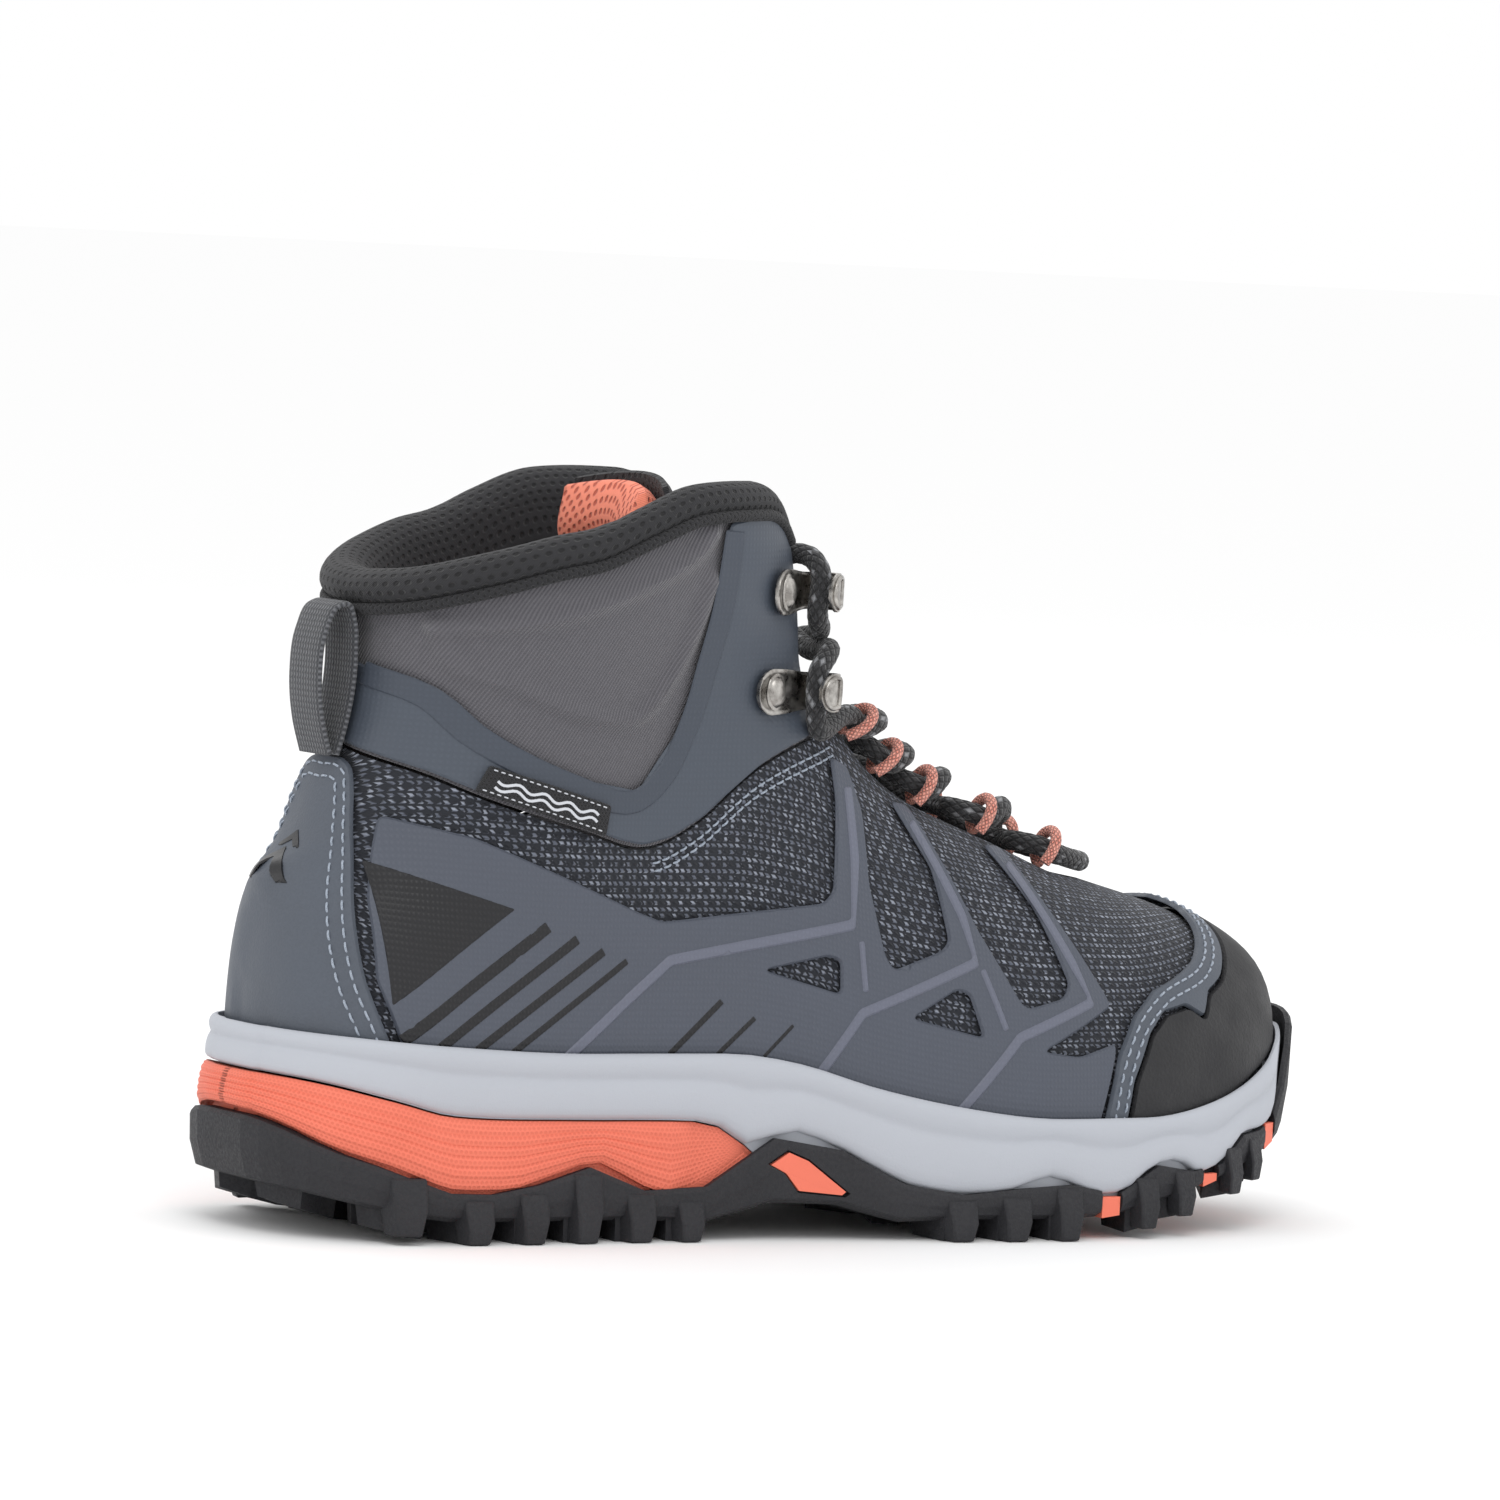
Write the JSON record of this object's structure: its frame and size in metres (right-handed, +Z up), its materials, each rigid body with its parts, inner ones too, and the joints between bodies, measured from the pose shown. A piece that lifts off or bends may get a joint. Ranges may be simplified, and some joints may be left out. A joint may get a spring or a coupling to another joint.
{
  "type": "hiking boot",
  "caption": "Mid-cut hiking boot with a padded collar, knitted upper under welded film overlays, cord lace loops and hooks, heel pull loop, foam midsole and a lugged rubber sole.",
  "frame": {"origin": "centre of the bounding box on the ground, under the lowest lugs", "axes": "+X from heel to toe, +Y to the inner (medial) side of this right boot, +Z up"},
  "size_m": [0.2686, 0.0976, 0.1605],
  "materials": {
    "charcoal_rubber": "matt, textured",
    "coral_foam": "moulded foam",
    "light_grey_foam": "moulded foam",
    "board": "pressed fibre board",
    "black_grey_knit": "two-tone knit",
    "grey_twill": "twill softshell",
    "blue_grey_film": "welded film",
    "blue_grey_leather": "synthetic leather",
    "black_leather": "synthetic leather",
    "black_mesh": "air mesh over foam",
    "coral_mesh": "air mesh over foam",
    "white_stiffener": "thermoplastic sheet",
    "grey_lining": "knitted lining",
    "grey_webbing": "woven webbing",
    "antique_nickel": "antique nickel plate",
    "black_cord": "braided cord with grey flecks",
    "coral_cord": "braided cord",
    "black_plastic": "rubber print"
  },
  "bodies": {
    "boot": {"outsole": "charcoal_rubber", "flex_insert_1": "coral_foam", "flex_insert_2": "coral_foam", "flex_insert_3": "coral_foam", "arch_insert_lateral": "coral_foam", "arch_insert_medial": "coral_foam", "heel_wedge": "coral_foam", "midsole": "light_grey_foam", "shank": "white_stiffener", "lasting_board": "board", "knit_upper": "black_grey_knit", "inner_bootie": "grey_lining", "heel_counter": "white_stiffener", "toe_puff": "white_stiffener", "ankle_panel_lateral": "grey_twill", "ankle_panel_medial": "grey_twill", "ankle_film_lateral": "blue_grey_film", "ankle_film_medial": "blue_grey_film", "overlay_lateral": "blue_grey_film", "overlay_medial": "blue_grey_film", "toe_cap": "black_leather", "toe_rand": "blue_grey_leather", "heel_cap": "blue_grey_leather", "side_label": "black_plastic", "collar_padding": "black_mesh", "lace": "black_cord", "lace_loop_lateral_1": "coral_cord", "lace_loop_lateral_2": "coral_cord", "lace_loop_lateral_3": "coral_cord", "lace_loop_lateral_4": "coral_cord", "lace_loop_lateral_5": "coral_cord", "lace_loop_medial_1": "coral_cord", "lace_loop_medial_2": "coral_cord", "lace_loop_medial_3": "coral_cord", "lace_loop_medial_4": "coral_cord", "lace_loop_medial_5": "coral_cord", "lace_hook_lateral_1": "antique_nickel", "lace_hook_lateral_2": "antique_nickel", "lace_hook_medial_1": "antique_nickel", "lace_hook_medial_2": "antique_nickel", "hook_rivet_lateral_1": "antique_nickel", "hook_rivet_lateral_2": "antique_nickel", "hook_rivet_medial_1": "antique_nickel", "hook_rivet_medial_2": "antique_nickel"},
    "tongue": {"tongue": "black_mesh", "tongue_lining": "coral_mesh"},
    "pull_loop": {"pull_loop": "grey_webbing"},
    "footbed": {"footbed_foam": "coral_foam", "footbed_cover": "grey_lining"}
  },
  "joints": [
    {"name": "tongue_hinge", "type": "hinge", "parent": "boot", "child": "tongue", "pos_m": [0.075, -0.0017, 0.067], "axis": [0, 1, 0], "range_deg": [-4, 0]},
    {"name": "pull_loop_hinge", "type": "hinge", "parent": "boot", "child": "pull_loop", "pos_m": [-0.1146, -0.0017, 0.0992], "axis": [0, 1, 0], "range_deg": [-45, 0], "stiffness_Nm_per_rad": 0.02},
    {"name": "footbed_lift", "type": "hinge", "parent": "boot", "child": "footbed", "pos_m": [0.108, -0.0017, 0.0285], "axis": [0, 1, 0], "range_deg": [0, 3.5]}
  ]
}
